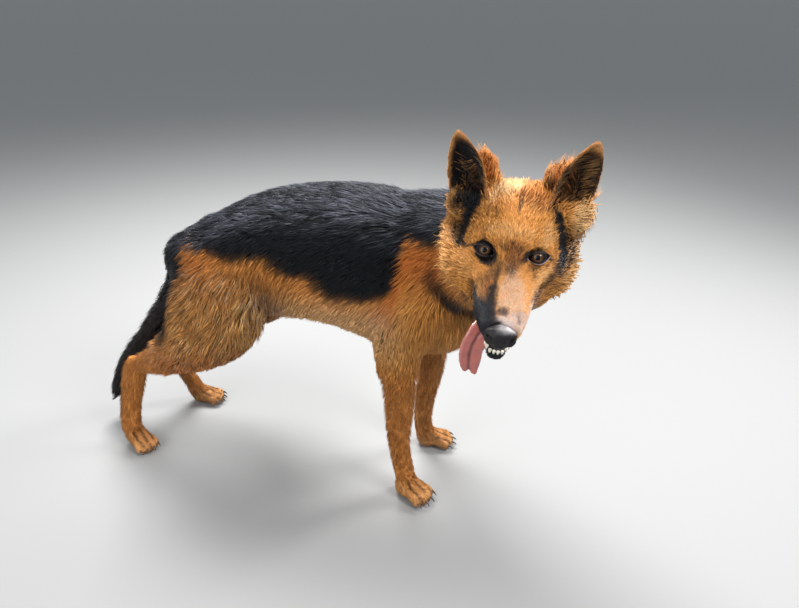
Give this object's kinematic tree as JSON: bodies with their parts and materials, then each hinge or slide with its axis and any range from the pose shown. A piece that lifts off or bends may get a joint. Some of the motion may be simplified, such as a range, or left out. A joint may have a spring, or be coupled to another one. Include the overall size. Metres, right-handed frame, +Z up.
{
  "type": "german shepherd dog, still life-size model",
  "caption": "Standing young German Shepherd dog as a still life-size model, head turned to its right, mouth open with the tongue out, tail hanging behind.",
  "frame": {"origin": "centre of the bounding box on the floor plane under the soles", "axes": "+Z up, +X along the trunk towards the chest, +Y to the dog's left"},
  "size_m": [0.984, 0.4552, 0.7431],
  "materials": {
    "coat": "black and tan double coat of solid tufts over skin, black saddle, tan legs, chest and face",
    "eye": "wet amber-brown iris with black pupil under a clear gloss",
    "nose_leather": "moist black pebbled nose leather",
    "tongue": "wet pink tongue with a middle groove",
    "teeth": "ivory teeth on a strip of dark gum",
    "claw": "dark horn, slightly worn"
  },
  "bodies": {
    "root": {"claw_fore_left_1": "claw", "claw_fore_left_2": "claw", "claw_fore_left_3": "claw", "claw_fore_left_4": "claw", "claw_fore_right_1": "claw", "claw_fore_right_2": "claw", "claw_fore_right_3": "claw", "claw_fore_right_4": "claw", "claw_hind_left_1": "claw", "claw_hind_left_2": "claw", "claw_hind_left_3": "claw", "claw_hind_left_4": "claw", "claw_hind_right_1": "claw", "claw_hind_right_2": "claw", "claw_hind_right_3": "claw", "claw_hind_right_4": "claw", "ear_left": "coat", "ear_right": "coat", "eye_left": "eye", "eye_right": "eye", "foreleg_left": "coat", "foreleg_right": "coat", "forepaw_left": "coat", "forepaw_right": "coat", "head": "coat", "hindfoot_left": "coat", "hindfoot_right": "coat", "lower_jaw": "coat", "neck": "coat", "nose": "nose_leather", "shank_left": "coat", "shank_right": "coat", "tail": "coat", "teeth_lower": "teeth", "thigh_left": "coat", "thigh_right": "coat", "tongue": "tongue", "trunk": "coat"}
  },
  "joints": []
}
